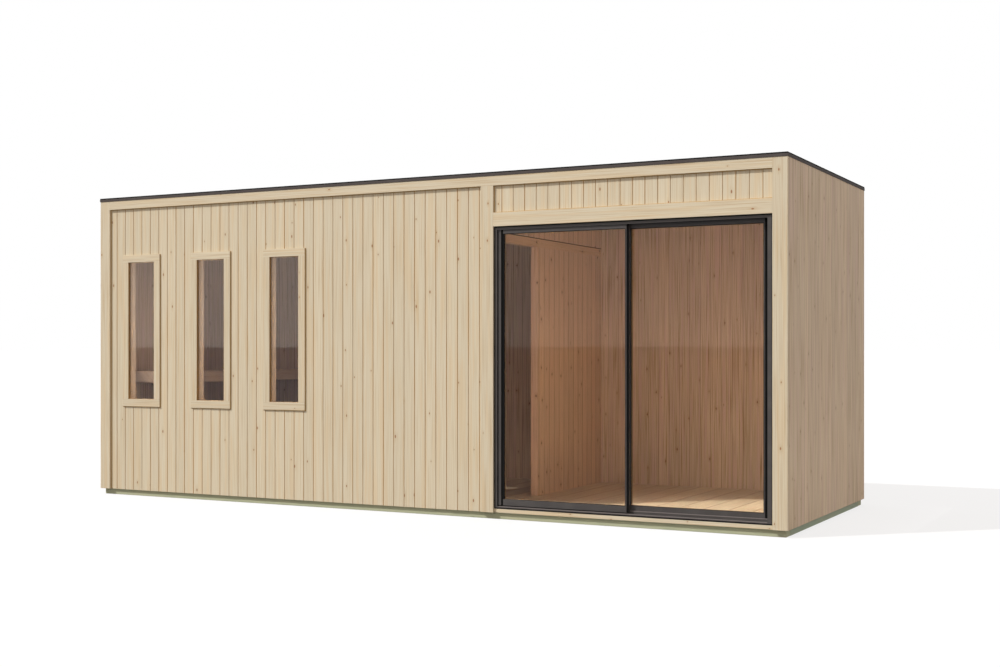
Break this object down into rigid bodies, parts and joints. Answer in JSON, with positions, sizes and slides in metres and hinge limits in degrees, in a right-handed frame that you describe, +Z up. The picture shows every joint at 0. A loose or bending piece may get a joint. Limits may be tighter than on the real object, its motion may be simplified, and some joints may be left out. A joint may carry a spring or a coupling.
{
  "type": "sauna cabin",
  "caption": "Flat-roofed timber sauna cabin: a sauna room with tall narrow windows and a bench, and a lobby behind a two-leaf sliding glass door, on low bearers.",
  "frame": {"origin": "centre of the footprint at ground level, under the bearers", "axes": "+X along the front towards the lobby's end wall, -Y out of the front with the windows and the door, +Z up"},
  "size_m": [5.828, 2.143, 2.457],
  "materials": {
    "treated_pine": "pressure-treated, rough sawn, greenish grey",
    "spruce_boards": "planed spruce with small knots, untreated",
    "spruce_panels": "laminated solid spruce panel, sanded, untreated",
    "spruce_floor": "planed tongue-and-groove floorboards",
    "roof_edge_metal": "matt anthracite powder coat",
    "roof_covering": "matt dark roofing membrane",
    "door_aluminium": "satin anthracite powder coat",
    "door_glass": "clear insulating glass",
    "window_glass": "bronze-tinted insulating glass",
    "bench_wood": "planed hardwood slats, untreated"
  },
  "bodies": {
    "cabin": {"long_bearers": "treated_pine", "cross_bearers": "treated_pine", "floor": "spruce_floor", "front_wall": "spruce_panels", "door_header_panel": "spruce_panels", "right_door_post": "spruce_panels", "door_threshold": "spruce_boards", "sauna_cladding": "spruce_boards", "lobby_cladding": "spruce_boards", "left_corner_board": "spruce_boards", "seam_board": "spruce_boards", "right_corner_board": "spruce_boards", "fascia_board": "spruce_boards", "door_head_board": "spruce_boards", "sill_board": "spruce_boards", "back_wall": "spruce_panels", "left_end_wall": "spruce_panels", "right_end_wall": "spruce_panels", "partition_back_panel": "spruce_panels", "partition_front_panel": "spruce_panels", "partition_rail": "spruce_panels", "partition_upper_panel": "spruce_panels", "ceiling_panel": "spruce_panels", "roof_membrane": "roof_covering", "roof_edges_long": "roof_edge_metal", "roof_edges_short": "roof_edge_metal", "door_frame_head": "door_aluminium", "door_frame_left_jamb": "door_aluminium", "door_frame_right_jamb": "door_aluminium", "door_frame_track": "door_aluminium", "window_1_casing": "spruce_boards", "window_2_casing": "spruce_boards", "window_3_casing": "spruce_boards", "window_1_glass": "window_glass", "window_2_glass": "window_glass", "window_3_glass": "window_glass", "window_liners": "spruce_boards", "bench_seat": "bench_wood", "bench_fascia": "bench_wood", "bench_frames": "bench_wood"},
    "left_leaf": {"left_leaf_stiles": "door_aluminium", "left_leaf_rails": "door_aluminium", "left_leaf_glass": "door_glass"},
    "right_leaf": {"right_leaf_stiles": "door_aluminium", "right_leaf_rails": "door_aluminium", "right_leaf_glass": "door_glass"}
  },
  "joints": [
    {"name": "left_leaf_slide", "type": "slide", "parent": "cabin", "child": "left_leaf", "axis": [1, 0, 0], "range_m": [0, 0.94]},
    {"name": "right_leaf_slide", "type": "slide", "parent": "cabin", "child": "right_leaf", "axis": [-1, 0, 0], "range_m": [0, 0.94]}
  ]
}
